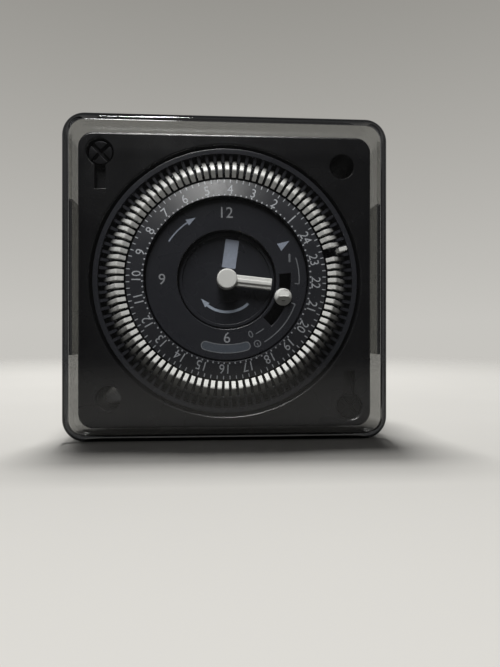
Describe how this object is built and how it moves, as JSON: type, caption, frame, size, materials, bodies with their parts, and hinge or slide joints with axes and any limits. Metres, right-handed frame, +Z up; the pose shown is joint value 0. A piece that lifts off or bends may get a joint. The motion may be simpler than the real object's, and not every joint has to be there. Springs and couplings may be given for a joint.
{
  "type": "panel mount timer",
  "caption": "Square panel mount time switch with a 24 hour tripper dial, clock hands, override knob and clear push-fit cover.",
  "frame": {"origin": "centre of the panel seat, on the rear face of the case's flange", "axes": "+Y into the panel, towards the terminals; +Z up, towards 12 o'clock; +X right, seen from the front"},
  "size_m": [0.072, 0.0416, 0.072],
  "materials": {
    "clear": "polished",
    "black": "satin",
    "white": "satin",
    "ivory": "satin",
    "brass": "satin",
    "steel": "satin",
    "zinc": "satin",
    "coil": "satin",
    "magnet": "matte",
    "red": "gloss"
  },
  "bodies": {
    "housing": {"case": "black", "front_frame": "black", "centre_face": "black", "centre_post": "brass", "movement_plate": "brass", "rear_plate": "brass", "pillars": "steel", "movement_screws": "steel", "motor_can": "steel", "motor_cap": "steel", "motor_coil": "coil", "motor_screws": "steel", "feeler_pin": "steel", "feeler_spring": "steel", "switch_body": "black", "switch_screws": "steel", "terminal_blades": "brass"},
    "cover": {"cover": "clear"},
    "dial": {"dial": "black", "dial_gear": "ivory", "pivot_wire": "steel", "trippers": "white"},
    "tripper_2300": {"tripper_2300": "white"},
    "tripper_2315": {"tripper_2315": "white"},
    "tripper_2330": {"tripper_2330": "white"},
    "tripper_2345": {"tripper_2345": "white"},
    "hour": {"hour_disc": "black", "hour_wheel": "brass"},
    "minute": {"minute_arbor": "steel", "minute_hand": "white", "cannon_pinion": "brass", "minute_wheel": "brass", "clutch_washer": "steel"},
    "idler": {"idler_arbor": "steel", "idler_wheel": "ivory", "dial_pinion": "ivory"},
    "motor_output": {"motor_pinion": "brass"},
    "rotor": {"motor_rotor": "magnet"},
    "override": {"override_lever": "black", "override_knob": "white", "override_cam": "black"},
    "feeler": {"feeler_lever": "ivory"},
    "button": {"switch_button": "red"},
    "clamp_screw_top": {"clamp_screw_top": "zinc"},
    "clamp_screw_bottom": {"clamp_screw_bottom": "zinc"},
    "claw_top": {"claw_top": "zinc"},
    "claw_bottom": {"claw_bottom": "zinc"}
  },
  "joints": [
    {"name": "cover_slide", "type": "slide", "parent": "housing", "child": "cover", "axis": [0, -1, 0], "range_m": [0, 0.025]},
    {"name": "dial_turn", "type": "hinge", "parent": "housing", "child": "dial", "pos_m": [0, 0, 0], "axis": [0, 1, 0], "continuous": true},
    {"name": "hour_turn", "type": "hinge", "parent": "housing", "child": "hour", "pos_m": [0, 0, 0], "axis": [0, 1, 0], "continuous": true},
    {"name": "minute_turn", "type": "hinge", "parent": "housing", "child": "minute", "pos_m": [0, 0, 0], "axis": [0, 1, 0], "continuous": true},
    {"name": "idler_turn", "type": "hinge", "parent": "housing", "child": "idler", "pos_m": [-0.0125, 0, 0], "axis": [0, 1, 0], "continuous": true},
    {"name": "motor_turn", "type": "hinge", "parent": "housing", "child": "motor_output", "pos_m": [0, 0, 0.013], "axis": [0, 1, 0], "continuous": true},
    {"name": "rotor_spin", "type": "hinge", "parent": "housing", "child": "rotor", "pos_m": [0, 0, 0.013], "axis": [0, 1, 0], "continuous": true},
    {"name": "knob_turn", "type": "hinge", "parent": "housing", "child": "override", "pos_m": [0, 0, 0], "axis": [0, 1, 0], "range_deg": [-14, 14]},
    {"name": "feeler_swing", "type": "hinge", "parent": "housing", "child": "feeler", "pos_m": [0.024, 0, -0.016], "axis": [0, -1, 0], "range_deg": [0, 2.5], "stiffness_Nm_per_rad": 0.4},
    {"name": "button_press", "type": "slide", "parent": "housing", "child": "button", "axis": [-1, 0, 0], "range_m": [0, 0.0014]},
    {"name": "screw_top_turn", "type": "hinge", "parent": "housing", "child": "clamp_screw_top", "pos_m": [-0.0292, 0, 0.0296], "axis": [0, 1, 0], "range_deg": [0, 90]},
    {"name": "screw_bottom_turn", "type": "hinge", "parent": "housing", "child": "clamp_screw_bottom", "pos_m": [0.0292, 0, -0.0296], "axis": [0, 1, 0], "range_deg": [0, 90]},
    {"name": "claw_top_slide", "type": "slide", "parent": "clamp_screw_top", "child": "claw_top", "axis": [0, -1, 0], "range_m": [0, 0.016]},
    {"name": "claw_bottom_slide", "type": "slide", "parent": "clamp_screw_bottom", "child": "claw_bottom", "axis": [0, -1, 0], "range_m": [0, 0.016]},
    {"name": "tripper_2300_tip", "type": "hinge", "parent": "dial", "child": "tripper_2300", "pos_m": [0.02639, -0.0025, 0.00701], "axis": [-0.2567, 0, 0.9665], "range_deg": [-32, 0]},
    {"name": "tripper_2315_tip", "type": "hinge", "parent": "dial", "child": "tripper_2315", "pos_m": [0.02587, -0.0025, 0.00872], "axis": [-0.3194, 0, 0.9476], "range_deg": [0, 32]},
    {"name": "tripper_2330_tip", "type": "hinge", "parent": "dial", "child": "tripper_2330", "pos_m": [0.02524, -0.0025, 0.01039], "axis": [-0.3807, 0, 0.9247], "range_deg": [0, 32]},
    {"name": "tripper_2345_tip", "type": "hinge", "parent": "dial", "child": "tripper_2345", "pos_m": [0.02451, -0.0025, 0.01202], "axis": [-0.4403, 0, 0.8978], "range_deg": [0, 32]}
  ],
  "couplings": [
    {"joint": "hour_turn", "follows": "dial_turn", "ratio": 2},
    {"joint": "minute_turn", "follows": "dial_turn", "ratio": 24},
    {"joint": "idler_turn", "follows": "dial_turn", "ratio": -6},
    {"joint": "motor_turn", "follows": "dial_turn", "ratio": -96},
    {"joint": "button_press", "follows": "feeler_swing", "m_per_rad": 0.023}
  ]
}
